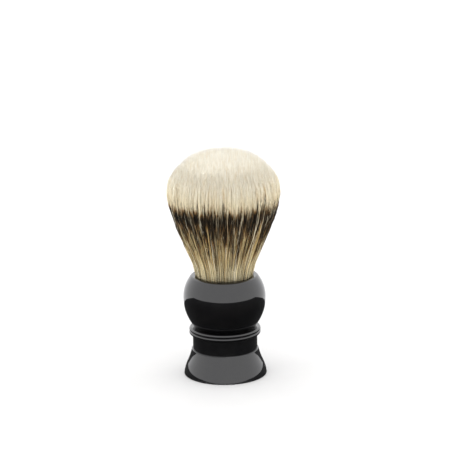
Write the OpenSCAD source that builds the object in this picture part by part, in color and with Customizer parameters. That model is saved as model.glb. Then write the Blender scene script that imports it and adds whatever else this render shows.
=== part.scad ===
// Shaving brush: a turned black resin handle, clamped together from four sections, with a badger hair knot.
// Millimetres, +Z up, origin at the centre of the face that the brush stands on.

/* [Handle outline] */
// Height of the handle, from the table to the rim of the knot socket
handle_h = 47; // [46:0.1:47.8]
// Diameter of the foot at its widest
foot_d = 38.2; // [37.5:0.1:39]
// Diameter of the foot at its top edge
foot_top_d = 30.9; // [30.4:0.1:31.2]
// Height of the foot's top edge
foot_h = 12.2; // [11.8:0.1:13]
// Radius of the foot's slightly hollow flare
flare_r = 30; // [25:1:40]
// Radius of the foot's rounded belly below the flare
belly_r = 18; // [14:1:22]
// Diameter of the plain waist
waist_d = 29.7; // [29:0.1:30]
// Outer diameter of the double bead
bead_d = 32.9; // [32:0.1:34]
// Thickness of the double bead
bead_t = 3.4; // [3:0.1:3.6]
// Height of the joint between the bead and the bulb
bulb_z = 22.6; // [22:0.1:23]
// Diameter of the bulb at its widest
bulb_d = 38.1; // [37.5:0.1:39]
// Height of the bulb's widest circle
bulb_wide_z = 36.7; // [36.3:0.1:37.2]
// Radius of the arc below the bulb's widest circle
bulb_lower_r = 21.5; // [20.5:0.1:23]
// Radius of the arc above the bulb's widest circle
bulb_side_r = 16; // [15:0.1:18]
// Radius of the bulb's rounded rim
bulb_shoulder_r = 2; // [1.6:0.1:2.6]

/* [Knot] */
// Diameter of the hair where it leaves the handle
knot_d = 26; // [25:0.1:26.2]
// Largest diameter of the hair
bloom_d = 51; // [46:0.1:56]
// Height of the hair's largest diameter
bloom_z = 85; // [82:0.5:89]
// Height of the whole brush
brush_h = 106; // [102:0.5:112]
// Depth of the knot socket
socket_depth = 12.3; // [11:0.1:12.5]
// Radial gap between the hair and the rim of the socket
rim_gap = 0.4; // [0.3:0.05:0.5]

/* [Hair flex] */
// Height, above the rim, of the point about which the hair bends
flex_above_rim = 7.6; // [6:0.1:10]
// Radius of the dome that parts the rooted hair from the bending hair
flex_dome_r = 18; // [17.5:0.5:19]
// Gap between the two hair solids
flex_gap = 0.3; // [0.2:0.05:0.5]

/* [Fastening] */
// Nominal diameter of the clamp screw
screw_d = 5; // [4:0.5:5]
// Length of the clamp screw under its head
screw_length = 25; // [23:0.5:25.5]
// Diameter of the screw's head
screw_head_d = 9.2; // [8:0.1:9.4]
// Height of the screw's head
screw_head_h = 2.6; // [2.2:0.1:2.8]
// Outer diameter of the brass insert
insert_d = 7.2; // [6.6:0.1:8]
// Length of the brass insert
insert_h = 6.4; // [5.6:0.1:6.5]
// Thickness of the plain washer and of the lock washer
washer_t = 0.7; // [0.6:0.1:0.8]

/* [Base] */
// Diameter of the closing disc
disc_d = 30; // [29:0.1:31]
// Thickness of the closing disc
disc_t = 1.9; // [1.5:0.1:2]
// How far the disc stands back from the table
disc_recess = 0.3; // [0.2:0.05:0.4]
// Diameter of the weight
weight_d = 26.8; // [25:0.1:27.4]
// Thickness of the weight
weight_t = 4.8; // [4.5:0.1:5]

/* [Hidden] */
$fn = 96;

fit = 0.05;                // radial clearance of a turned fit
sink = 0.1;                // end clearance at the bottom of a recess
past = 1;                  // how far a cutting tool runs past a face

foot_r = foot_d / 2;
foot_top_r = foot_top_d / 2;
waist_r = waist_d / 2;
bead_r = bead_d / 2;
bulb_r = bulb_d / 2;
waist_top = bulb_z - bead_t;
lip_r = 0.5;               // rounding of the foot's lower edge
lip_slope = 8;             // angle from upright at which the belly meets that rounding
edge_r = 0.3;              // rounding of the foot's top edge
lap = 0.01;                // how far neighbouring arcs of an outline cut into each other

disc_top = disc_recess + disc_t;
weight_top = disc_top + weight_t;
web_t = 2.8;               // the foot's web, which the screw clamps
web_top = weight_top + web_t;
tenon_r = 11;              // lower tenon of the neck sleeve
spigot_r = 9;              // upper spigot of the neck sleeve
spigot_top = bulb_z + 2.2;
weight_bore_r = 6;

screw_r = screw_d / 2;
screw_hole_r = screw_r + 0.1;
washer_r = 5.3;
lock_washer_r = 4.7;
lock_washer_slot = 0.8;
driver_across = 3.6;       // across the corners of the screw's hexagon socket
driver_depth = 1.4;
screw_under_head = weight_top - 2 * washer_t;
screw_top = screw_under_head + screw_length;
insert_z = spigot_top + 0.3;
insert_groove_h = 0.7;
insert_groove_depth = 0.35;

rim_z = handle_h;
knot_r = knot_d / 2;
socket_r = knot_r + rim_gap;
socket_z = rim_z - socket_depth;
rim_face = 0.35;           // width of the flat face around the socket's mouth
bloom_r = bloom_d / 2;

ring_wall = 0.4;           // wall of the metal ring around the knot
glue_wall = 0.2;           // glue film between ring and socket
glue_bed = 0.7;
glue_short = 1;            // how far the glue stops below the ring's top
ring_r = socket_r - glue_wall;
ring_z = socket_z + glue_bed;
ring_h = 6.6;
ring_top = ring_z + ring_h;
plug_h = 2.5;
butt_z = ring_z + plug_h;  // where the hair's butts end
butt_r = knot_r - 0.85;    // hair under the binding
cord_r = 0.225;            // waxed binding cord
cord_pitch = 0.43;         // a little under the cord's thickness, so that each turn beds on the last
binding_turns = 7;
binding_z = butt_z + 0.3;

flex_z = rim_z + flex_above_rim;
hair_steps = 20;           // straight steps in each curve of the hair's outline
fan_rise = 13.5;           // how far the hair keeps the slope at which it leaves the rim
fan_spread = 1.28;
bloom_lead = 12;           // how far below its widest circle the fan turns upright
dome_rise = 11.6;          // how far above its widest circle the dome stays upright
crown_share = 0.65;        // how flat the crown is

// The point at distance ra from a and rb from b, on the left of the way from a to b.
function meeting(a, ra, b, rb) =
    let (gap = norm(b - a), along = (b - a) / gap,
         reach = (gap * gap + ra * ra - rb * rb) / (2 * gap),
         side = sqrt(ra * ra - reach * reach))
    a + reach * along + side * [-along.y, along.x];

// The point that lies a given distance from one point in the direction of another.
function towards(from, to, distance) = from + distance * (to - from) / norm(to - from);

// Points on a cubic Bezier curve.
function bezier(p0, p1, p2, p3, steps = hair_steps) =
    [for (i = [0 : steps]) let (t = i / steps, u = 1 - t)
        u * u * u * p0 + 3 * u * u * t * p1 + 3 * u * t * t * p2 + t * t * t * p3];

// Outline of all the hair, from the butts up to the crown.
function hair_outline() =
    let (rim = [knot_r, rim_z], widest = [bloom_r, bloom_z], crown = [0, brush_h])
    concat(
        [[0, butt_z], [butt_r, butt_z], [butt_r, ring_top - 0.2], [knot_r, ring_top + 1]],
        bezier(rim, [knot_r * fan_spread, rim_z + fan_rise], [bloom_r, bloom_z - bloom_lead], widest),
        [for (p = bezier(widest, [bloom_r, bloom_z + dome_rise], [bloom_r * crown_share, brush_h], crown))
            if (p.y > bloom_z) p]
    );

module tube(outer_r, inner_r, z, h) {
    difference() {
        translate([0, 0, z]) cylinder(r = outer_r, h = h);
        translate([0, 0, z - past]) cylinder(r = inner_r, h = h + 2 * past);
    }
}

// The part of a flat outline between two heights.
module between(low, high) {
    intersection() {
        children();
        translate([0, low]) square([foot_r + bulb_r, high - low]);
    }
}

// Half outline of the solid foot: a slightly hollow flare that swells into a rounded belly over a small lip.
module foot_outline() {
    lip = [foot_r - lip_r, lip_r];
    edge = [foot_top_r - edge_r, foot_h - edge_r];
    belly = lip - (belly_r - lip_r + lap) * [cos(lip_slope), sin(lip_slope)];
    flare = meeting(edge + [edge_r - 2 * lap, 0], flare_r, belly, flare_r + belly_r - lap);
    flare_join = towards(belly, flare, belly_r - lap / 2);
    lip_join = towards(belly, lip, belly_r);
    translate(lip) circle(r = lip_r);
    between(lip_join.y, edge.y) translate(belly) circle(r = belly_r);
    difference() {
        polygon([
            [0, 0], [lip.x, 0], lip, flare_join, edge + [edge_r, 0], edge + [0, edge_r], [0, foot_h]
        ]);
        translate(flare) circle(r = flare_r);
    }
    translate(edge) circle(r = edge_r);
}

// Half outline of the solid bulb: three arcs that run smoothly into each other.
module bulb_outline() {
    rim = [socket_r + rim_face, rim_z];
    side = [bulb_r - bulb_side_r, bulb_wide_z];
    shoulder = meeting(rim, bulb_shoulder_r, side, bulb_side_r - bulb_shoulder_r + lap);
    join = towards(side, shoulder, bulb_side_r);
    lower_x = bulb_r - bulb_lower_r;
    bottom_x = lower_x + sqrt(pow(bulb_lower_r, 2) - pow(bulb_wide_z - bulb_z, 2)) - lap;
    between(bulb_z, bulb_wide_z) translate([lower_x, bulb_wide_z]) circle(r = bulb_lower_r);
    between(bulb_wide_z, join.y) translate(side) circle(r = bulb_side_r);
    between(bulb_z, rim_z) translate(shoulder) circle(r = bulb_shoulder_r);
    polygon([
        [0, bulb_z], [bottom_x, bulb_z], [bulb_r - lap, bulb_wide_z], join, rim - [lap, 0], [0, rim_z]
    ]);
}

// Flared foot, with a chamber for the weight below its web and a recess for the neck sleeve above it.
module handle_foot() {
    color([0.03, 0.03, 0.035])
    difference() {
        rotate_extrude() foot_outline();
        translate([0, 0, -past]) cylinder(r = disc_d / 2 + fit, h = disc_top + past);
        translate([0, 0, -past]) cylinder(r = weight_d / 2 + fit, h = weight_top + past);
        translate([0, 0, -past]) cylinder(r = screw_hole_r, h = foot_h + 2 * past);
        translate([0, 0, web_top]) cylinder(r = tenon_r + fit, h = foot_h);
    }
}

// Plain waist, with a tenon that enters the foot and a spigot that carries the bead and enters the bulb.
module neck_sleeve() {
    color([0.03, 0.03, 0.035])
    difference() {
        union() {
            translate([0, 0, foot_h]) cylinder(r = waist_r, h = waist_top - foot_h);
            translate([0, 0, web_top + sink]) cylinder(r = tenon_r, h = foot_h - web_top);
            translate([0, 0, foot_h]) cylinder(r = spigot_r, h = spigot_top - foot_h);
        }
        translate([0, 0, web_top - past]) cylinder(r = screw_hole_r, h = spigot_top - web_top + 2 * past);
    }
}

// Ring of two half-round beads, one above the other, between the waist and the bulb.
module bead_ring() {
    bead_round = 0.27 * bead_t;
    bead_x = bead_r - bead_round;
    color([0.04, 0.04, 0.045])
    rotate_extrude() {
        translate([bead_x, waist_top + bead_round]) circle(r = bead_round);
        translate([bead_x, bulb_z - bead_round]) circle(r = bead_round);
        translate([spigot_r + fit, waist_top]) square([bead_x - spigot_r - fit, bead_t]);
    }
}

// Bulb, with the knot socket in its top and the seat of the threaded insert in its underside.
module handle_bulb() {
    color([0.03, 0.03, 0.035])
    difference() {
        rotate_extrude() bulb_outline();
        translate([0, 0, socket_z]) cylinder(r = socket_r, h = socket_depth + past);
        translate([0, 0, bulb_z - past]) cylinder(r = spigot_r + fit, h = spigot_top + sink - bulb_z + past);
        translate([0, 0, bulb_z]) cylinder(r = insert_d / 2 + fit, h = insert_z + insert_h + sink - bulb_z);
    }
}

// Disc that closes the foot, just clear of the table.
module base_disc() {
    color([0.05, 0.05, 0.05])
    translate([0, 0, disc_recess]) cylinder(r = disc_d / 2, h = disc_t);
}

// Steel ring that gives the brush its low balance.
module base_weight() {
    color("silver")
    tube(weight_d / 2, weight_bore_r, disc_top, weight_t);
}

// Screw with a hexagon socket, which clamps the four handle sections together.
module clamp_screw() {
    head_z = screw_under_head - screw_head_h;
    color("silver")
    difference() {
        union() {
            translate([0, 0, head_z]) cylinder(d = screw_head_d, h = screw_head_h);
            translate([0, 0, head_z]) cylinder(r = screw_r, h = screw_head_h + screw_length);
        }
        translate([0, 0, head_z - past]) cylinder(d = driver_across, h = driver_depth + past, $fn = 6);
    }
}

module plain_washer() {
    color("gainsboro")
    tube(washer_r, screw_hole_r, weight_top - washer_t, washer_t);
}

// Split lock washer between the screw's head and the plain washer.
module lock_washer() {
    color("darkgray")
    difference() {
        tube(lock_washer_r, screw_hole_r, screw_under_head, washer_t);
        translate([0, -lock_washer_slot / 2, screw_under_head - past])
            cube([lock_washer_r + past, lock_washer_slot, washer_t + 2 * past]);
    }
}

// Brass insert set in the bulb, with two grip grooves around it.
module threaded_insert() {
    groove_r = insert_d / 2 - insert_groove_depth;
    color("goldenrod")
    difference() {
        tube(insert_d / 2, screw_r + fit, insert_z, insert_h);
        for (share = [0.3, 0.65])
            tube(insert_d, groove_r, insert_z + share * insert_h, insert_groove_h);
    }
}

// Cured glue: a bed under the knot and a thin film around its ring.
module socket_adhesive() {
    color([0.85, 0.8, 0.6])
    difference() {
        translate([0, 0, socket_z]) cylinder(r = socket_r, h = glue_bed + ring_h - glue_short);
        translate([0, 0, ring_z]) cylinder(r = ring_r, h = ring_h);
    }
}

// Thin metal ring that gives the knot its size.
module knot_ring() {
    color("lightgray")
    tube(ring_r - fit / 2, ring_r - ring_wall, ring_z, ring_h);
}

// Cast resin plug that holds the butts of the hair.
module knot_plug() {
    color([0.25, 0.13, 0.05])
    translate([0, 0, ring_z]) cylinder(r = ring_r - ring_wall - fit / 2, h = plug_h);
}

// Waxed cord wound around the butts, as turns that bed on each other.
module knot_binding() {
    clear_of_hair = 0.01;
    color([0.7, 0.6, 0.4])
    for (turn = [0 : binding_turns - 1])
        translate([0, 0, binding_z + cord_r + turn * cord_pitch])
            rotate_extrude() translate([butt_r + cord_r + clear_of_hair, 0]) circle(r = cord_r);
}

// The hair from its butts up to the dome where it starts to bend freely.
module knot_root() {
    color([0.78, 0.7, 0.52])
    difference() {
        rotate_extrude() polygon(hair_outline());
        difference() {
            translate([0, 0, flex_z]) cylinder(r = bloom_d, h = brush_h);
            translate([0, 0, flex_z]) sphere(r = flex_dome_r - flex_gap);
        }
    }
}

// The free hair: the fan and the domed crown, hollow underneath where it turns over the rooted hair.
module knot_bloom() {
    color([0.95, 0.92, 0.83])
    difference() {
        rotate_extrude() polygon(hair_outline());
        translate([0, 0, flex_z]) sphere(r = flex_dome_r);
        cylinder(r = bloom_d, h = flex_z);
    }
}

handle_foot();
neck_sleeve();
bead_ring();
handle_bulb();
base_disc();
base_weight();
clamp_screw();
plain_washer();
lock_washer();
threaded_insert();
socket_adhesive();
knot_ring();
knot_plug();
knot_binding();
knot_root();
knot_bloom();
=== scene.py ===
"""Dresses and lights a shaving brush: a polished black resin handle that holds a fanned badger knot.

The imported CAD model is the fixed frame. The handle's sections keep their CAD shape and get their finishes
here, and the two plain solids that stand for the hair are replaced by a knot of separate, tapered hairs.
"""

import logging
import math
from dataclasses import dataclass
from enum import Enum
from typing import Any, Iterable, Sequence

import bpy
import numpy as np
from mathutils import Euler, Matrix, Vector


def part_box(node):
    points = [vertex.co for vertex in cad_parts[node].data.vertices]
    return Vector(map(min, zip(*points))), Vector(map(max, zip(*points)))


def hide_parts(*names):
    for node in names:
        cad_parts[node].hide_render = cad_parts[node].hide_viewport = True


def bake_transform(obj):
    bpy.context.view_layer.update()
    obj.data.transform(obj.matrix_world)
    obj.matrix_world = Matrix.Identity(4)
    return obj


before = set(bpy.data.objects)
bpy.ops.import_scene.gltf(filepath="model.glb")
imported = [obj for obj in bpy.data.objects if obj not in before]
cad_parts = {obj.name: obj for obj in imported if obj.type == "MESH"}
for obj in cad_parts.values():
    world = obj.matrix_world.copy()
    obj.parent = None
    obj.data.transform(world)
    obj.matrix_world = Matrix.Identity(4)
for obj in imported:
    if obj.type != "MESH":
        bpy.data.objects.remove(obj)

LOG = logging.getLogger("shaving_brush")
MM = 0.001
HAIR_MAP = "OFBake"  # the UV map that lays every hair out as one narrow upright strip
COLUMNS = 96  # strips side by side on that map, each with its own markings
STRIP_SHARE = 0.36  # how far from the middle of its strip a hair reaches, as a share of the strip's width
MAP_LENGTH = 70.0  # how many millimetres of hair the map is tall
FAN_POINTS = 60  # points along the outline of the fanned hair
DOME_POINTS = 80  # points along the outline of the domed tips
NEAREST_AT_ONCE = 800  # hairs that look for their tuft together, which bounds the memory it takes
Colour = tuple[float, float, float]
Socket = bpy.types.NodeSocket
Source = Socket | float


class Body(Enum):
    """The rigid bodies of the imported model."""

    HANDLE = "handle"
    TIPS = "knot_tips"


class Sector(Enum):
    """The eight wedges that the knot's hairs are made in, by the direction that they face."""

    RIGHT_BACK = 0
    BACK_RIGHT = 1
    BACK_LEFT = 2
    LEFT_BACK = 3
    LEFT_FRONT = 4
    FRONT_LEFT = 5
    FRONT_RIGHT = 6
    RIGHT_FRONT = 7


# ------------------------------------------------------------------------------------------------------------
# Shader building


class Tree:
    """A node tree with short ways to add and join nodes."""

    def __init__(self, tree: bpy.types.NodeTree) -> None:
        """Wraps a tree.

        Args:
            tree: The node tree to add to.
        """
        self.tree = tree

    def node(self, kind: str, **settings: Any) -> bpy.types.Node:
        """Adds a node.

        Args:
            kind: The node's type, without the ShaderNode prefix.
            **settings: Values for the node's own properties.

        Returns:
            The new node.
        """
        made = self.tree.nodes.new(kind if kind.startswith("Node") else f"ShaderNode{kind}")
        for name, value in settings.items():
            setattr(made, name, value)
        return made

    def feed(self, socket: Socket, source: Any) -> None:
        """Links a socket to its source, or sets its value.

        Args:
            socket: The input to fill.
            source: An output socket, a number or a colour.
        """
        if isinstance(source, bpy.types.NodeSocket):
            self.tree.links.new(source, socket)
        else:
            socket.default_value = source

    def math(self, operation: str, a: Source, b: Source = 0.0) -> Socket:
        """Adds a Math node.

        Args:
            operation: The Math node's operation.
            a: The first number.
            b: The second number.

        Returns:
            The result's socket.
        """
        made = self.node("Math", operation=operation)
        self.feed(made.inputs[0], a)
        self.feed(made.inputs[1], b)
        return made.outputs[0]

    def between(
        self, value: Source, low: Source, high: Source, start: Source = 0.0, end: Source = 1.0
    ) -> Socket:
        """Maps a value smoothly from one range to another.

        Args:
            value: The number to map.
            low: The value that gives start.
            high: The value that gives end.
            start: The result at and below low.
            end: The result at and above high.

        Returns:
            The result's socket.
        """
        made = self.node("MapRange", interpolation_type="SMOOTHSTEP")
        limits = {"From Min": low, "From Max": high, "To Min": start, "To Max": end}
        for name, source in {"Value": value, **limits}.items():
            self.feed(made.inputs[name], source)
        return made.outputs["Result"]

    def mix(self, share: Source, a: Any, b: Any, way: str = "MIX") -> Socket:
        """Mixes two colours.

        Args:
            share: How much of b, from 0 to 1.
            a: The first colour or its socket.
            b: The second colour or its socket.
            way: The blend type.

        Returns:
            The mixed colour's socket.
        """
        made = self.node("Mix", data_type="RGBA", blend_type=way)
        self.feed(made.inputs[0], share)
        self.feed(made.inputs[6], a)
        self.feed(made.inputs[7], b)
        return made.outputs[2]

    def noise(self, vector: Socket, scale: float, detail: float) -> Socket:
        """Adds a noise texture.

        Args:
            vector: The coordinates that it reads.
            scale: The texture's scale, per metre on Object coordinates.
            detail: How many octaves it has.

        Returns:
            The noise value's socket, around 0.5.
        """
        made = self.node("TexNoise")
        self.feed(made.inputs["Vector"], vector)
        self.feed(made.inputs["Scale"], scale)
        self.feed(made.inputs["Detail"], detail)
        return made.outputs["Fac"]

    def stretched(self, vector: Socket, scale: Sequence[float]) -> Socket:
        """Scales coordinates.

        Args:
            vector: The coordinates.
            scale: How much along each axis.

        Returns:
            The scaled coordinates' socket.
        """
        made = self.node("Mapping")
        self.feed(made.inputs["Vector"], vector)
        self.feed(made.inputs["Scale"], Vector(scale))
        return made.outputs["Vector"]

    def ramp(self, value: Socket, stops: Iterable[tuple[float, Colour]]) -> Socket:
        """Colours a value.

        Args:
            value: The number to colour.
            stops: Pairs of a position from 0 to 1 and its colour.

        Returns:
            The colour's socket.
        """
        made = self.node("ValToRGB")
        points = made.color_ramp.elements
        ordered = list(stops)
        while len(points) < len(ordered):
            points.new(0.5)
        for point, (place, colour) in zip(points, ordered):
            point.position = place
            point.color = (*colour, 1.0)
        self.feed(made.inputs[0], value)
        return made.outputs["Color"]


def new_group(name: str, inputs: dict[str, float], outputs: dict[str, str]) -> tuple[Tree, Any, Any]:
    """Starts a shader node group.

    Args:
        name: The group's name.
        inputs: Each input's name and value before it is set.
        outputs: Each output's name and socket type.

    Returns:
        The group's tree, its input node's outputs and its output node's inputs.
    """
    tree = bpy.data.node_groups.new(name, "ShaderNodeTree")
    for title, value in inputs.items():
        kind = "NodeSocketVector" if title == "Vector" else "NodeSocketFloat"
        socket = tree.interface.new_socket(title, in_out="INPUT", socket_type=kind)
        if kind == "NodeSocketFloat":
            socket.default_value = value
    for title, kind in outputs.items():
        tree.interface.new_socket(title, in_out="OUTPUT", socket_type=kind)
    wrapped = Tree(tree)
    return wrapped, wrapped.node("NodeGroupInput").outputs, wrapped.node("NodeGroupOutput").inputs


def handling_marks() -> bpy.types.NodeTree:
    """Makes the group that puts the traces of use on a smooth surface: smudges, hairlines and dust.

    Returns:
        The node group, whose outputs are a roughness, a height and a dust mask.
    """
    tree, given, made = new_group(
        "handling_marks",
        {"Vector": 0.0, "Roughness": 0.05, "Smudges": 0.05, "Hairlines": 0.02, "Dust": 0.02},
        {"Roughness": "NodeSocketFloat", "Height": "NodeSocketFloat", "Dust": "NodeSocketFloat"},
    )
    at = given["Vector"]
    smear = tree.between(tree.noise(tree.stretched(at, (1.0, 1.0, 2.2)), 85.0, 4.0), 0.46, 0.72)
    fine = tree.noise(at, 700.0, 2.0)
    lines = tree.noise(tree.stretched(at, (160.0, 160.0, 2600.0)), 1.0, 4.0)
    cross = tree.noise(tree.stretched(at, (2100.0, 700.0, 240.0)), 1.0, 3.0)
    scratch = tree.math("MAXIMUM", tree.between(lines, 0.63, 0.70), tree.between(cross, 0.66, 0.73))
    worn = tree.math("MULTIPLY", scratch, given["Hairlines"])
    smudged = tree.math("MULTIPLY", tree.math("MULTIPLY", smear, fine), given["Smudges"])
    tree.feed(made["Roughness"], tree.math("ADD", tree.math("ADD", given["Roughness"], smudged), worn))
    tree.feed(made["Height"], tree.math("MULTIPLY", scratch, -1.0))
    specks = tree.between(tree.noise(at, 2600.0, 1.0), 0.74, 0.80)
    tree.feed(made["Dust"], tree.math("MULTIPLY", specks, given["Dust"]))
    return tree.tree


def badger_markings() -> bpy.types.NodeTree:
    """Makes the group that colours badger hair: an ivory tip, a near-black band, a tan root.

    Returns:
        The node group. Its inputs are the distance from the tip, a number that is one hair's own, and where
        the band starts and ends, with distances in millimetres.
    """
    earliest = 8.5  # how much nearer the tip the earliest bands start
    uneven_start = 3.0  # how much the other bands' starts differ
    uneven_end = 19.0  # how much the bands' ends differ
    golden_tan = (0.60, 0.41, 0.16, 1.0)
    cream = (0.84, 0.78, 0.60, 1.0)
    umber = (0.07, 0.045, 0.016, 1.0)
    rust = (0.30, 0.16, 0.05, 1.0)
    black = (0.008, 0.006, 0.004, 1.0)
    brown_black = (0.09, 0.06, 0.028, 1.0)
    tree, given, made = new_group(
        "badger_markings",
        {"From Tip": 0.0, "Hair": 0.0, "Band Start": 14.2, "Band End": 30.2},
        {"Color": "NodeSocketColor"},
    )
    chances = []
    for draw in (given["Hair"], tree.math("ADD", given["Hair"], 311.7)):
        luck = tree.node("TexWhiteNoise", noise_dimensions="1D")
        tree.feed(luck.inputs["W"], draw)
        split = tree.node("SeparateColor")
        tree.feed(split.inputs[0], luck.outputs["Color"])
        chances += list(split.outputs)
    first, second, third, fourth, fifth, _ = chances
    depth = given["From Tip"]

    # Where this hair's own band starts and ends: most start together, a few much nearer the tip.
    few = tree.math("POWER", first, 3.5)
    early = tree.math("MULTIPLY", few, -earliest)
    late = tree.math("MULTIPLY", second, uneven_start)
    start = tree.math("ADD", tree.math("ADD", given["Band Start"], early), late)
    reach = tree.math("MULTIPLY", tree.math("SUBTRACT", fifth, 0.5), uneven_end)
    end = tree.math("ADD", given["Band End"], reach)
    upper = tree.between(depth, tree.math("SUBTRACT", start, 2.6), tree.math("ADD", start, 3.0))
    lower = tree.between(depth, tree.math("SUBTRACT", end, 4.5), tree.math("ADD", end, 4.5), 1.0, 0.0)
    band = tree.math("MULTIPLY", upper, lower)
    # Some hairs are pale all along.
    band = tree.math("MULTIPLY", band, tree.between(third, 0.87, 0.91, 1.0, 0.05))

    pale = tree.ramp(
        tree.math("DIVIDE", depth, MAP_LENGTH),
        [
            (0.0, (0.98, 0.955, 0.86)),
            (0.10, (0.975, 0.925, 0.76)),
            (0.20, (0.90, 0.80, 0.55)),
            (0.42, (0.57, 0.45, 0.215)),
            (0.56, (0.65, 0.53, 0.28)),
            (0.68, (0.88, 0.79, 0.52)),
        ],
    )
    # Hairs differ little at the tip, where some are golden, and more towards the root, where some are brown.
    golden = tree.math("MULTIPLY", few, tree.between(depth, 0.3, 4.0, 0.5, 1.0))
    pale = tree.mix(golden, pale, golden_tan)
    chosen = tree.between(third, 0.72, 0.84)
    lightest = tree.math("MULTIPLY", chosen, tree.between(depth, 10.0, 20.0, 0.0, 0.8))
    pale = tree.mix(lightest, pale, cream)
    shady = tree.math("POWER", fourth, 2.2)
    shade = tree.math("MULTIPLY", shady, tree.between(depth, 8.0, 26.0, 0.25, 1.2))
    pale = tree.mix(tree.math("MINIMUM", shade, 1.0), pale, umber)
    # The band has a brown edge on either side and isn't equally dark in every hair.
    edged = tree.mix(tree.between(band, 0.0, 0.5), pale, rust)
    darkest = tree.mix(tree.math("POWER", second, 3.0), black, brown_black)
    tree.feed(made["Color"], tree.mix(tree.between(band, 0.3, 0.9), edged, darkest))
    return tree.tree


GROUPS: dict[str, bpy.types.NodeTree] = {}


def group(name: str) -> bpy.types.NodeTree:
    """Gives a shared node group, made the first time it is asked for.

    Args:
        name: The group's name, which is its maker's.

    Returns:
        The node group.
    """
    makers = {"handling_marks": handling_marks, "badger_markings": badger_markings}
    if name not in GROUPS:
        GROUPS[name] = makers[name]()
    return GROUPS[name]


def new_material(name: str) -> tuple[bpy.types.Material, Tree, bpy.types.Node]:
    """Starts a material with one Principled shader.

    Args:
        name: The material's name.

    Returns:
        The material, its tree and its Principled node.
    """
    material = bpy.data.materials.new(name)
    material.use_nodes = True
    material.node_tree.nodes.clear()
    tree = Tree(material.node_tree)
    shader = tree.node("BsdfPrincipled")
    output = tree.node("OutputMaterial")
    tree.feed(output.inputs["Surface"], shader.outputs[0])
    return material, tree, shader


@dataclass(frozen=True)
class Finish:
    """A hard surface: its colour, how that wanders, its gloss and the marks of use on it.

    Attributes:
        name: The material's name.
        colour: The main colour.
        second: The colour that it drifts to in places.
        drift: The scale of that drift, per metre.
        metallic: 1 for a bare metal.
        roughness: The roughness of a clean spot.
        smudges: How much a smudge adds to the roughness.
        hairlines: How much a hairline adds to it.
        dust: How much of a dust speck's colour shows.
        bump: How deep the marks are.
        ior: The index of refraction.
    """

    name: str
    colour: Colour
    second: Colour
    drift: float = 120.0
    metallic: float = 0.0
    roughness: float = 0.05
    smudges: float = 0.05
    hairlines: float = 0.04
    dust: float = 0.0
    bump: float = 0.02
    ior: float = 1.5

    def material(self) -> bpy.types.Material:
        """Builds the finish's material."""
        material, tree, shader = new_material(self.name)
        place = tree.node("TexCoord").outputs["Object"]
        marks = tree.node("Group", node_tree=group("handling_marks"))
        tree.feed(marks.inputs["Vector"], place)
        for title, value in (
            ("Roughness", self.roughness),
            ("Smudges", self.smudges),
            ("Hairlines", self.hairlines),
            ("Dust", self.dust),
        ):
            tree.feed(marks.inputs[title], value)
        drift = tree.between(tree.noise(place, self.drift, 5.0), 0.35, 0.68)
        colour = tree.mix(drift, (*self.colour, 1.0), (*self.second, 1.0))
        colour = tree.mix(marks.outputs["Dust"], colour, (0.6, 0.58, 0.55, 1.0))
        tree.feed(shader.inputs["Base Color"], colour)
        tree.feed(shader.inputs["Roughness"], marks.outputs["Roughness"])
        bump = tree.node("Bump")
        tree.feed(bump.inputs["Strength"], self.bump)
        tree.feed(bump.inputs["Distance"], 0.02 * MM)
        tree.feed(bump.inputs["Height"], marks.outputs["Height"])
        tree.feed(shader.inputs["Normal"], bump.outputs[0])
        tree.feed(shader.inputs["Metallic"], self.metallic)
        tree.feed(shader.inputs["IOR"], self.ior)
        return material


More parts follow.
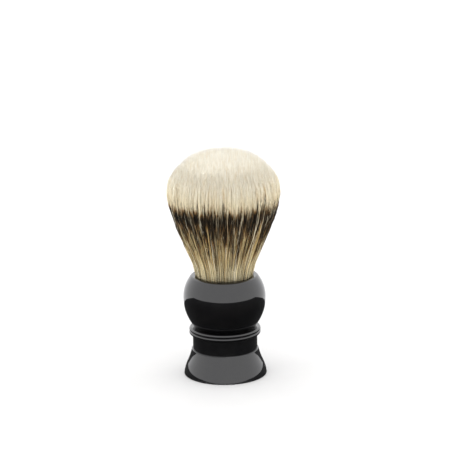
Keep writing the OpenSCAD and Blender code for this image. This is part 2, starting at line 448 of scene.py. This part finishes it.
@dataclass(frozen=True)
class BadgerHair:
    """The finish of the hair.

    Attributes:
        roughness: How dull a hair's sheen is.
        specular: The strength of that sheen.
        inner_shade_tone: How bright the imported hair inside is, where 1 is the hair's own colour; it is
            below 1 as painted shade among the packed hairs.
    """

    roughness: float = 0.42
    specular: float = 0.35
    # Painted shade: the inner mass's colour is darkened to this share of the hair's own colour.
    inner_shade_tone: float = 0.84

    def shaded(self, name: str, tone: float) -> tuple[bpy.types.Material, Tree, bpy.types.Node]:
        """Starts a hair material.

        Args:
            name: The material's name.
            tone: How bright it is, where 1 is the hair's own colour and less is painted shade.

        Returns:
            The material, its tree and its markings node.
        """
        material, tree, shader = new_material(name)
        markings = tree.node("Group", node_tree=group("badger_markings"))
        colour = markings.outputs["Color"]
        # Painted shade: a tone below 1 darkens the hair's own colour.
        if tone != 1.0:
            colour = tree.mix(1.0, colour, (tone, tone, tone, 1.0), "MULTIPLY")
        tree.feed(shader.inputs["Base Color"], colour)
        tree.feed(shader.inputs["Roughness"], self.roughness)
        tree.feed(shader.inputs["Specular IOR Level"], self.specular)
        return material, tree, markings

    def strands(self) -> bpy.types.Material:
        """Builds the material of the separate hairs, which reads each hair's strip on the hair map."""
        material, tree, markings = self.shaded("badger_hair", 1.0)
        place = tree.node("UVMap", uv_map=HAIR_MAP)
        split = tree.node("SeparateXYZ")
        tree.feed(split.inputs[0], place.outputs[0])
        column = tree.math("FLOOR", tree.math("MULTIPLY", split.outputs["X"], float(COLUMNS)))
        tree.feed(markings.inputs["Hair"], column)
        depth = tree.math("MULTIPLY", tree.math("SUBTRACT", 1.0, split.outputs["Y"]), MAP_LENGTH)
        tree.feed(markings.inputs["From Tip"], depth)
        return material

    def inner_mass(self, tip_z: float) -> bpy.types.Material:
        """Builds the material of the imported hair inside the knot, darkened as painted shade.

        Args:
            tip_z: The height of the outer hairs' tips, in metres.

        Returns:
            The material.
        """
        # The inner mass gets painted shade: it is darker than the hair's own colour.
        material, tree, markings = self.shaded("badger_hair_inside", self.inner_shade_tone)
        place = tree.node("TexCoord").outputs["Object"]
        split = tree.node("SeparateXYZ")
        tree.feed(split.inputs[0], place)
        streak = tree.noise(tree.stretched(place, (1500.0, 1500.0, 60.0)), 1.0, 2.0)
        column = tree.math("FLOOR", tree.math("MULTIPLY", streak, float(COLUMNS)))
        tree.feed(markings.inputs["Hair"], column)
        below = tree.math("MULTIPLY", tree.math("SUBTRACT", tip_z, split.outputs["Z"]), 1.0 / MM)
        tree.feed(markings.inputs["From Tip"], tree.math("MAXIMUM", below, 0.0))
        return material


# ------------------------------------------------------------------------------------------------------------
# Mesh helpers


def deselect() -> None:
    """Leaves nothing selected and nothing active."""
    if bpy.context.object and bpy.context.object.mode != "OBJECT":
        bpy.ops.object.mode_set(mode="OBJECT")
    bpy.ops.object.select_all(action="DESELECT")
    bpy.context.view_layer.objects.active = None


def apply_place(piece: bpy.types.Object) -> None:
    """Moves an object's place, turn and scale into its mesh."""
    piece.data.transform(piece.matrix_world)
    piece.matrix_world = Matrix.Identity(4)


def bezier(points: Sequence[tuple[float, float]], count: int) -> np.ndarray:
    """Points along a cubic Bezier curve.

    Args:
        points: The four control points.
        count: How many points to give.

    Returns:
        An array of count points.
    """
    t = np.linspace(0.0, 1.0, count)[:, None]
    a, b, c, d = (np.array(p, float) for p in points)
    return (1 - t) ** 3 * a + 3 * (1 - t) ** 2 * t * b + 3 * (1 - t) * t**2 * c + t**3 * d


def mesh_piece(name: str, corners: np.ndarray, faces: list[np.ndarray]) -> bpy.types.Object:
    """Makes an object from arrays.

    Args:
        name: The object's name.
        corners: The vertices' places.
        faces: Arrays of faces, one array for each number of sides.

    Returns:
        The new object, smooth shaded.
    """
    mesh = bpy.data.meshes.new(name)
    mesh.vertices.add(len(corners))
    mesh.vertices.foreach_set("co", corners.astype(np.float32).ravel())
    loops = np.concatenate([f.ravel() for f in faces])
    sizes = np.concatenate([np.full(len(f), f.shape[1]) for f in faces])
    mesh.loops.add(len(loops))
    mesh.loops.foreach_set("vertex_index", loops.astype(np.int32))
    mesh.polygons.add(len(sizes))
    starts = np.concatenate([[0], np.cumsum(sizes)[:-1]])
    mesh.polygons.foreach_set("loop_start", starts.astype(np.int32))
    mesh.polygons.foreach_set("use_smooth", np.ones(len(sizes), bool))
    mesh.update(calc_edges=True)
    piece = bpy.data.objects.new(name, mesh)
    bpy.context.scene.collection.objects.link(piece)
    return piece


# ------------------------------------------------------------------------------------------------------------
# The handle


@dataclass
class Handle:
    """The resin handle and what is fixed inside it. Every section keeps its CAD shape.

    Attributes:
        resin: The polished black resin of the four turned sections.
        plastic: The moulded plastic of the closing disc.
        steel: The plated steel of the screw, the washers and the weight.
        brass: The brass of the insert.
        ring: The aluminium of the knot's ring.
        glue: The cured glue in the socket.
        plug: The resin that the hair's butts are cast in.
        cord: The waxed binding cord.
    """

    resin: Finish = Finish(
        "black_resin",
        (0.0014, 0.0014, 0.0017),
        (0.0028, 0.0027, 0.0028),
        roughness=0.035,
        dust=0.02,
        ior=1.68,
    )
    plastic: Finish = Finish(
        "moulded_black",
        (0.016, 0.016, 0.017),
        (0.024, 0.024, 0.025),
        drift=900.0,
        roughness=0.42,
        hairlines=0.1,
        bump=0.3,
    )
    steel: Finish = Finish(
        "plated_steel",
        (0.56, 0.57, 0.58),
        (0.47, 0.47, 0.46),
        drift=400.0,
        metallic=1.0,
        roughness=0.24,
        smudges=0.12,
        hairlines=0.15,
        bump=0.25,
    )
    brass: Finish = Finish(
        "turned_brass",
        (0.80, 0.60, 0.27),
        (0.66, 0.46, 0.19),
        drift=500.0,
        metallic=1.0,
        roughness=0.2,
        smudges=0.15,
        hairlines=0.12,
        bump=0.25,
    )
    ring: Finish = Finish(
        "drawn_aluminium",
        (0.82, 0.82, 0.83),
        (0.70, 0.70, 0.71),
        drift=500.0,
        metallic=1.0,
        roughness=0.3,
        smudges=0.1,
        hairlines=0.15,
        bump=0.25,
    )
    glue: Finish = Finish(
        "cured_glue",
        (0.62, 0.48, 0.24),
        (0.52, 0.38, 0.17),
        drift=300.0,
        roughness=0.25,
        bump=0.1,
    )
    plug: Finish = Finish(
        "cast_plug",
        (0.10, 0.05, 0.02),
        (0.15, 0.08, 0.035),
        drift=300.0,
        roughness=0.3,
        bump=0.1,
    )
    cord: Finish = Finish(
        "waxed_cord",
        (0.42, 0.33, 0.19),
        (0.54, 0.45, 0.29),
        drift=1800.0,
        roughness=0.5,
        hairlines=0.2,
        bump=0.6,
    )

    def dress(self) -> None:
        """Gives each CAD node of the handle its finish."""
        worn = {
            self.resin: ("handle_bulb", "bead_ring", "neck_sleeve", "handle_foot"),
            self.plastic: ("base_disc",),
            self.steel: ("base_weight", "clamp_screw", "plain_washer", "lock_washer"),
            self.brass: ("threaded_insert",),
            self.ring: ("knot_ring",),
            self.glue: ("socket_adhesive",),
            self.plug: ("knot_plug",),
            self.cord: ("knot_binding",),
        }
        for finish, names in worn.items():
            material = finish.material()
            for name in names:
                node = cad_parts[name]
                node.data.materials.clear()
                node.data.materials.append(material)
                LOG.info("%s: %s", name, finish.name)


# ------------------------------------------------------------------------------------------------------------
# The knot


@dataclass(frozen=True)
class HairShape:
    """One straight hair, one unit tall, as it was modelled.

    Attributes:
        heights: The height of each ring of vertices, from the butt up to the tip.
        ring_of: For each vertex, which ring it is on.
        across: For each vertex, its place across the hair, where 1 is the hair's thickest radius.
        faces: The faces, as one array for each number of sides.
    """

    heights: np.ndarray
    ring_of: np.ndarray
    across: np.ndarray
    faces: list[np.ndarray]


@dataclass(frozen=True)
class Stray:
    """How far hairs stray at random, as standard deviations.

    Attributes:
        tuft: What all the hairs of a tuft share.
        hair: What each hair adds by itself.
    """

    tuft: float
    hair: float


@dataclass
class Knot:
    """The hair: thousands of tapered hairs round an inner mass, rooted in the handle and domed at the tips.

    Attributes:
        root_radius: The radius of the bundle where it leaves the handle.
        rooted: How far the modelled hairs reach down into the socket.
        widest_z: The height of the bundle's widest circle.
        fan_rise: How far the outer hair keeps the slope at which it leaves the rim.
        fan_spread: How much wider it is there than at the rim.
        fan_lead: How far below the widest circle it turns upright.
        dome_rise: How far above the widest circle the dome stays upright.
        crown_share: How flat the crown is.
        turn_in: Where on the dome the outermost tips end, from 0 at the widest circle to 1 at the crown.
        hairs: How many hairs the knot has.
        outer_share: The share of them in the outer layer.
        outer_from: Where the outer layer starts, as a share of the radius.
        tufts: How many tufts the hairs gather in.
        early_end: How far below the dome's outline the outermost hairs may end.
        side_lean: How far the fanned hair stands to the right of the handle's axis.
        crown_rise: How far the crown stands above the CAD solid's top.
        side_inset: How far the outline stays inside the CAD solid's side.
        farthest: How far out a hair may reach, as a share of the outline's radius.
        turning: How far the hairs turn about the axis, in radians.
        swelling: How far they stand out or in, as a share of the radius.
        ragged: How much shorter the hairs end.
        ragged_level: How much longer than the outline the longest ones are.
        waving: How wide the hairs' sideways waves are.
        surging: How deep their waves in and out are.
        deepest_surge: The depth that those keep to.
        wild_share: The share of hairs that stray the most.
        wild: How much farther those stray.
        alike_share: The share of hairs that have their tuft's markings.
        inner_share: The inner mass's radius, as a share of the outline's.
        inner_drop: How far below the dome the inner mass ends.
        thickness: The thinnest and thickest hair, in metres across.
        flex_height: How far above the rim a bend would end; not used.
        seed: Starts the random numbers.
    """

    root_radius: float = 12.5 * MM
    rooted: float = 3.0 * MM
    widest_z: float = 86.0 * MM
    fan_rise: float = 13.5 * MM
    fan_spread: float = 1.33
    fan_lead: float = 10.5 * MM
    dome_rise: float = 11.6 * MM
    crown_share: float = 0.65
    turn_in: float = 0.3
    hairs: int = 38400
    outer_share: float = 0.45
    outer_from: float = 0.78
    tufts: int = 16000
    early_end: float = 8.0 * MM
    side_lean: float = 0.25 * MM
    crown_rise: float = 0.4 * MM
    side_inset: float = 0.15 * MM
    farthest: float = 1.012
    turning: Stray = Stray(0.034, 0.016)
    swelling: Stray = Stray(0.014, 0.008)
    ragged: Stray = Stray(0.3 * MM, 0.6 * MM)
    ragged_level: float = 0.4 * MM
    waving: Stray = Stray(0.26 * MM, 0.14 * MM)
    surging: Stray = Stray(0.34 * MM, 0.12 * MM)
    deepest_surge: float = 0.6 * MM
    wild_share: float = 0.045
    wild: float = 5.0
    alike_share: float = 0.75
    inner_share: float = 0.9
    inner_drop: float = 2.9 * MM
    thickness: tuple[float, float] = (0.11 * MM, 0.18 * MM)
    flex_height: float = 27.0 * MM
    seed: int = 7

    def __post_init__(self) -> None:
        """Takes the knot's overall sizes from the frame and works out its outline."""
        self.rim_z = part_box("handle_bulb")[1].z
        self.top_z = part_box("knot_bloom")[1].z + self.crown_rise
        self.bloom_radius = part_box("knot_bloom")[1].x - self.side_inset
        self.luck = np.random.default_rng(self.seed)
        widest = (self.bloom_radius, self.widest_z)
        self.fan = bezier(
            [
                (self.root_radius, self.rim_z),
                (self.root_radius * self.fan_spread, self.rim_z + self.fan_rise),
                (self.bloom_radius, self.widest_z - self.fan_lead),
                widest,
            ],
            FAN_POINTS,
        )
        self.dome = bezier(
            [
                widest,
                (self.bloom_radius, self.widest_z + self.dome_rise),
                (self.bloom_radius * self.crown_share, self.top_z),
                (0.0, self.top_z),
            ],
            DOME_POINTS,
        )
        self.tip_index = round(self.turn_in * (len(self.dome) - 1))
        self.tip_ring = self.dome[self.tip_index]

    def radius_at(self, z: np.ndarray) -> np.ndarray:
        """How far out the outermost hair is at each height, held constant above its tip and in the socket."""
        line = np.vstack([self.fan, self.dome[1 : self.tip_index + 1]])
        return np.interp(z, line[:, 1], line[:, 0])

    def dome_at(self, radius: np.ndarray) -> np.ndarray:
        """The dome's height at each distance from the axis."""
        return np.interp(radius, self.dome[::-1, 0], self.dome[::-1, 1])

    def model_hair(self) -> HairShape:
        """Models one straight hair by extruding a small triangle up and closing it in a point."""
        butt = 0.72  # the butt's radius, which the first steps swell to 1 at the hair's thickest
        rises = (0.17, 0.17, 0.17, 0.16, 0.14, 0.11, 0.08)
        swells = (1.25, 1.1, 1.0, 0.96, 0.86, 0.66, 1.0)
        deselect()
        bpy.ops.mesh.primitive_circle_add(vertices=3, radius=butt, fill_type="NGON")
        hair = bpy.context.object
        bpy.ops.object.mode_set(mode="EDIT")
        for rise, swell in zip(rises, swells):
            bpy.ops.mesh.extrude_region_move(TRANSFORM_OT_translate={"value": (0.0, 0.0, rise)})
            bpy.ops.transform.resize(value=(swell, swell, 1.0))
        bpy.ops.mesh.merge(type="CENTER")
        bpy.ops.mesh.select_all(action="SELECT")
        bpy.ops.mesh.normals_make_consistent(inside=False)
        bpy.ops.object.mode_set(mode="OBJECT")
        mesh = hair.data
        places = np.array([v.co for v in mesh.vertices])
        heights, ring_of = np.unique(places[:, 2].round(5), return_inverse=True)
        by_sides: dict[int, list[list[int]]] = {}
        for face in mesh.polygons:
            by_sides.setdefault(len(face.vertices), []).append(list(face.vertices))
        faces = [np.array(by_sides[count]) for count in sorted(by_sides)]
        shape = HairShape(heights / heights.max(), ring_of, places[:, :2], faces)
        bpy.data.objects.remove(hair)
        return shape

    def plant(self) -> dict[str, np.ndarray]:
        """Chooses where each hair is rooted, which tuft it belongs to and how it differs from its neighbours.

        Returns:
            One array for each property, with a value for each hair, in order of their direction.
        """
        luck, count = self.luck, self.hairs
        outer = luck.random(count) < self.outer_share
        spread = np.sqrt(luck.random(count))
        rim_share = 1.0 - (1.0 - self.outer_from) * luck.random(count) ** 1.4
        share = np.where(outer, rim_share, spread)
        turn = luck.random(count) * 2 * math.pi

        # Tufts: a hair belongs to the nearest one, on a disc that is stretched to give the rim its share.
        centre_share = np.sqrt(luck.random(self.tufts)) ** 0.7
        centre_turn = luck.random(self.tufts) * 2 * math.pi
        centres = np.stack([centre_share * np.cos(centre_turn), centre_share * np.sin(centre_turn)], 1)
        roots = np.stack([share * np.cos(turn), share * np.sin(turn)], 1)
        tuft = np.empty(count, int)
        for start in range(0, count, NEAREST_AT_ONCE):
            some = slice(start, start + NEAREST_AT_ONCE)
            tuft[some] = ((centres**2).sum(1)[None] - 2.0 * roots[some] @ centres.T).argmin(1)

        def of_tuft(size: float) -> np.ndarray:
            """A random amount that all the hairs of a tuft share."""
            return (luck.normal(size=self.tufts) * size)[tuft]

        def astray(amount: Stray, factor: float | np.ndarray = 1.0) -> np.ndarray:
            """A random amount for each hair, partly its tuft's, with the hair's own part times a factor."""
            return of_tuft(amount.tuft) + luck.normal(size=count) * amount.hair * factor

        factor = np.where(luck.random(count) < self.wild_share, self.wild, 1.0)
        column = luck.integers(0, COLUMNS, self.tufts)[tuft]
        alike = luck.random(count) < self.alike_share
        column = np.where(alike, column, luck.integers(0, COLUMNS, count))
        edge = np.clip((share - 0.72) / 0.28, 0.0, 1.0)
        planted = {
            "share": share,
            "turn": turn,
            "lean": astray(self.turning, factor),
            "swell": astray(self.swelling, factor),
            "short": np.abs(luck.normal(size=count)) * self.ragged.hair + np.abs(of_tuft(self.ragged.tuft)),
            "early": edge * self.early_end * luck.random(count) ** 1.3,
            "wave": astray(self.waving),
            "phase": (luck.random(self.tufts) * 2 * math.pi)[tuft],
            "surge": np.clip(astray(self.surging), -self.deepest_surge, self.deepest_surge),
            "rhythm": luck.uniform(7.0, 13.0, self.tufts)[tuft],
            "spin": luck.random(count) * 2 * math.pi,
            "thick": luck.uniform(*self.thickness, count) / 2,
            "column": column,
        }
        order = np.argsort(turn)
        return {name: values[order] for name, values in planted.items()}

    def centre_lines(self, heights: np.ndarray, hair: dict[str, np.ndarray]) -> np.ndarray:
        """Works out the path of each hair, which follows the fan at its own share of the radius.

        Args:
            heights: Where along the hair its rings are, from 0 to 1.
            hair: The planted hairs.

        Returns:
            An array of hairs by rings by three coordinates.
        """
        share = hair["share"]
        tip_z = self.dome_at(share * self.tip_ring[0]) + self.ragged_level - hair["short"] - hair["early"]
        root_z = self.rim_z - self.rooted
        up = heights[None, :]
        z = root_z + (tip_z - root_z)[:, None] * up
        ease = np.clip((z - self.rim_z) / (self.top_z - self.rim_z), 0, 1)
        reach = share[:, None] + hair["swell"][:, None] * ease
        reach = np.where(reach > 1.0, np.minimum(1.0 + (reach - 1.0) * 0.4, self.farthest), reach)
        # Waves start at the rim and have their full width a third of the way up.
        loose = np.minimum(ease * 3.0, 1.0)
        cycle = hair["phase"][:, None] + hair["rhythm"][:, None] * up
        radius = reach * self.radius_at(z) + hair["surge"][:, None] * np.sin(1.3 * cycle) * loose
        turn = hair["turn"][:, None] + hair["lean"][:, None] * ease
        sway = hair["wave"][:, None] * np.sin(cycle) * loose
        x = radius * np.cos(turn) - sway * np.sin(turn) + self.side_lean * np.minimum(ease * 2.0, 1.0)
        y = radius * np.sin(turn) + sway * np.cos(turn)
        return np.stack([x, y, z], 2)

    def grow(self, sector: Sector, shape: HairShape, hair: dict[str, np.ndarray]) -> bpy.types.Object:
        """Copies the modelled hair along the paths of one sector.

        Args:
            sector: The sector, which names the piece.
            shape: The modelled hair.
            hair: The planted hairs of this sector.

        Returns:
            The piece, with each hair laid out on the hair map.
        """
        lines = self.centre_lines(shape.heights, hair)
        along = np.gradient(lines, axis=1)
        along /= np.linalg.norm(along, axis=2, keepdims=True)
        around = [-np.sin(hair["turn"]), np.cos(hair["turn"]), np.zeros(len(lines))]
        sideways = np.stack(around, 1)[:, None]
        outwards = np.cross(sideways, along)
        outwards /= np.linalg.norm(outwards, axis=2, keepdims=True)
        sideways = np.cross(along, outwards)

        spin = hair["spin"][:, None]
        x, y = shape.across[:, 0][None], shape.across[:, 1][None]
        over = (x * np.cos(spin) - y * np.sin(spin)) * hair["thick"][:, None]
        out = (x * np.sin(spin) + y * np.cos(spin)) * hair["thick"][:, None]
        ring = shape.ring_of
        corners = lines[:, ring] + over[..., None] * sideways[:, ring]
        corners = corners + out[..., None] * outwards[:, ring]

        offsets = np.arange(len(lines))[:, None, None] * len(ring)
        faces = [(f[None] + offsets).reshape(-1, f.shape[1]) for f in shape.faces]
        piece = mesh_piece(f"knot_hair_{sector.name.lower()}", corners.reshape(-1, 3), faces)

        # The map: the column picks the strip, and its height runs down in true length from the tip, or from
        # where the tip would be if the hair didn't end early.
        length = np.linalg.norm(lines[:, -1] - lines[:, 0], axis=1)
        from_tip = ((1 - shape.heights[ring])[None] * length[:, None] + hair["early"][:, None]) / MM
        off_centre = STRIP_SHARE * shape.across[:, 0] / np.abs(shape.across[:, 0]).max()
        u = (hair["column"][:, None] + 0.5 + off_centre[None]) / COLUMNS
        places = np.stack([u, 1 - from_tip / MAP_LENGTH], 2).reshape(-1, 2)
        layer = piece.data.uv_layers.new(name=HAIR_MAP)
        loops = np.concatenate([f.ravel() for f in faces])
        layer.uv.foreach_set("vector", places[loops].astype(np.float32).ravel())
        return piece

    def model_inner_mass(self) -> bpy.types.Object:
        """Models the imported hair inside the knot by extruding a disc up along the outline.

        Returns:
            The piece, a closed round body a little inside the outer hairs.
        """
        side = self.fan[::5]
        dome = self.dome[8:-2:7] - np.array([0.0, self.inner_drop])
        outline = [(radius * self.inner_share, z) for radius, z in np.vstack([side[:-1], dome])]
        first = (outline[0][0], self.rim_z - self.rooted)
        deselect()
        bpy.ops.mesh.primitive_circle_add(
            vertices=96, radius=first[0], fill_type="NGON", location=(0, 0, first[1])
        )
        mass = bpy.context.object
        bpy.ops.object.mode_set(mode="EDIT")
        before = first
        for radius, z in outline:
            bpy.ops.mesh.extrude_region_move(TRANSFORM_OT_translate={"value": (0.0, 0.0, z - before[1])})
            scale = radius / before[0]
            bpy.ops.transform.resize(value=(scale, scale, 1.0))
            before = (radius, z)
        bpy.ops.mesh.inset(thickness=before[0] * 0.6, depth=0.4 * MM)
        bpy.ops.mesh.select_all(action="SELECT")
        bpy.ops.mesh.normals_make_consistent(inside=False)
        bpy.ops.mesh.faces_shade_smooth()
        bpy.ops.object.mode_set(mode="OBJECT")
        mass.name = mass.data.name = "knot_inner_mass"
        apply_place(mass)
        return mass

    def build(self) -> None:
        """Makes the knot's pieces and dresses them."""
        finish = BadgerHair()
        strands = finish.strands()
        shape = self.model_hair()
        hair = self.plant()
        edges = np.linspace(0, self.hairs, len(Sector) + 1).round().astype(int)
        pieces = []
        for sector in Sector:
            chosen = slice(edges[sector.value], edges[sector.value + 1])
            piece = self.grow(sector, shape, {name: values[chosen] for name, values in hair.items()})
            piece.data.materials.append(strands)
            pieces.append(piece)
        mass = self.model_inner_mass()
        mass.data.materials.append(finish.inner_mass(float(self.tip_ring[1])))
        pieces.append(mass)
        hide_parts("knot_root", "knot_bloom")
        for piece in pieces:
            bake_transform(piece)
            piece.data.calc_loop_triangles()
            LOG.info("%s: %d triangles", piece.name, len(piece.data.loop_triangles))


# ------------------------------------------------------------------------------------------------------------
# The studio


@dataclass
class Studio:
    """The floor, the light and the camera, none of which is part of the brush.

    Attributes:
        camera_place: Where the camera stands.
        pitch: How far the camera looks down, in degrees.
        roll: How far the camera is turned about its line of sight, in degrees.
        lens: The focal length in millimetres, on a sensor 36 mm wide.
        floor_size: The width of the floor.
        floor_colour: The floor's colour.
        horizon_light: The radiance of the surroundings at the horizon.
        zenith_light: The radiance straight above.
        card_low: The nearest left corner of the dark card that polished surfaces mirror.
        card_high: Its farthest right corner.
        card_colours: The darkest and lightest colour of the card's grain.
        tent_radius: The radius of the light tent that polished surfaces mirror.
        tent_light: The radiance of its wall.
    """

    camera_place: tuple[float, float, float] = (0.0007, -0.884, 0.2914)
    pitch: float = 14.04
    roll: float = -0.83
    lens: float = 160.0
    floor_size: float = 12.0
    floor_colour: Colour = (0.56, 0.56, 0.565)
    horizon_light: float = 2.7
    zenith_light: float = 1.7
    card_low: tuple[float, float] = (-1.5, -1.6)
    card_high: tuple[float, float] = (1.5, 0.1)
    card_colours: tuple[Colour, Colour] = ((0.003, 0.003, 0.0035), (0.01, 0.01, 0.011))
    tent_radius: float = 6.0
    tent_light: float = 1.45

    def build_floor(self) -> None:
        """Lays a plain pale floor that polished surfaces don't mirror."""
        deselect()
        bpy.ops.mesh.primitive_plane_add(size=self.floor_size, location=(0, 0, 0))
        floor = bpy.context.object
        floor.name = floor.data.name = "floor"
        apply_place(floor)
        material, tree, shader = new_material("pale_floor")
        place = tree.node("TexCoord").outputs["Object"]
        speckle = tree.between(tree.noise(place, 30.0, 6.0), 0.3, 0.7)
        lighter = tuple(min(c * 1.03, 1.0) for c in self.floor_colour)
        colour = tree.mix(speckle, (*self.floor_colour, 1.0), (*lighter, 1.0))
        tree.feed(shader.inputs["Base Color"], colour)
        tree.feed(shader.inputs["Roughness"], 0.9)
        tree.feed(shader.inputs["Specular IOR Level"], 0.1)
        floor.data.materials.append(material)
        floor.visible_glossy = False

    def build_card(self) -> None:
        """Lays a dark card under the brush that only polished surfaces see, as a studio's black flag."""
        (low_x, low_y), (high_x, high_y) = self.card_low, self.card_high
        deselect()
        bpy.ops.mesh.primitive_plane_add(size=1.0)
        card = bpy.context.object
        bpy.ops.object.mode_set(mode="EDIT")
        bpy.ops.transform.resize(value=(high_x - low_x, high_y - low_y, 1.0))
        bpy.ops.transform.translate(value=((low_x + high_x) / 2, (low_y + high_y) / 2, -MM))
        bpy.ops.object.mode_set(mode="OBJECT")
        card.name = card.data.name = "dark_card"
        apply_place(card)
        material, tree, shader = new_material("dark_card")
        place = tree.node("TexCoord").outputs["Object"]
        grain = tree.noise(tree.stretched(place, (2.0, 60.0, 1.0)), 3.0, 4.0)
        darkest, lightest = ((*colour, 1.0) for colour in self.card_colours)
        tree.feed(shader.inputs["Base Color"], tree.mix(grain, darkest, lightest))
        tree.feed(shader.inputs["Roughness"], 0.8)
        card.data.materials.append(material)
        card.visible_camera = card.visible_diffuse = card.visible_shadow = False

    def build_tent(self) -> None:
        """Sets an even white tent round everything, which only polished surfaces see."""
        deselect()
        bpy.ops.mesh.primitive_uv_sphere_add(segments=48, ring_count=24, radius=self.tent_radius)
        tent = bpy.context.object
        tent.name = tent.data.name = "light_tent"
        apply_place(tent)
        material, tree, shader = new_material("tent_cloth")
        weave = tree.noise(tree.node("TexCoord").outputs["Object"], 0.6, 2.0)
        tree.feed(shader.inputs["Base Color"], (0.0, 0.0, 0.0, 1.0))
        cloth = tree.mix(weave, (0.93, 0.93, 0.96, 1.0), (1.0, 1.0, 1.0, 1.0))
        tree.feed(shader.inputs["Emission Color"], cloth)
        tree.feed(shader.inputs["Emission Strength"], self.tent_light)
        tent.data.materials.append(material)
        tent.visible_camera = tent.visible_diffuse = tent.visible_shadow = False
        tent.visible_transmission = False

    def build_light(self) -> None:
        """Surrounds the brush with soft light that is brightest at the horizon."""
        world = bpy.data.worlds.new("soft_surroundings")
        bpy.context.scene.world = world
        world.use_nodes = True
        world.node_tree.nodes.clear()
        tree = Tree(world.node_tree)
        way = tree.node("TexCoord").outputs["Generated"]
        split = tree.node("SeparateXYZ")
        tree.feed(split.inputs[0], way)
        height = split.outputs["Z"]
        level = tree.between(height, 0.05, 0.95, self.horizon_light, self.zenith_light)
        light = tree.node("Background")
        tree.feed(light.inputs["Color"], (1.0, 0.995, 0.985, 1.0))
        tree.feed(light.inputs["Strength"], level)
        output = tree.node("OutputWorld")
        tree.feed(output.inputs["Surface"], light.outputs[0])

    def build_camera(self) -> None:
        """Places the camera and makes it the scene's."""
        data = bpy.data.cameras.new("camera")
        data.lens = self.lens
        data.sensor_width = 36.0
        data.clip_start = 0.01
        data.clip_end = 50.0
        camera = bpy.data.objects.new("camera", data)
        bpy.context.scene.collection.objects.link(camera)
        tilt = Euler((math.radians(90.0 - self.pitch), 0.0, 0.0)).to_matrix().to_4x4()
        roll = Matrix.Rotation(math.radians(self.roll), 4, "Z")
        camera.matrix_world = Matrix.Translation(self.camera_place) @ tilt @ roll
        bpy.context.scene.camera = camera

    def build(self) -> None:
        """Makes the floor, the card, the tent, the light and the camera."""
        self.build_floor()
        self.build_card()
        self.build_tent()
        self.build_light()
        self.build_camera()
        bpy.context.scene.view_settings.view_transform = "Standard"
        LOG.info("studio: floor, card, tent, light and camera")


def main() -> None:
    """Builds the brush's visible pieces and the studio round them."""
    logging.basicConfig(level=logging.INFO, format="%(message)s")
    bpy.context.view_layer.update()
    Handle().dress()
    Knot().build()
    Studio().build()


if __name__ == "__main__":
    main()
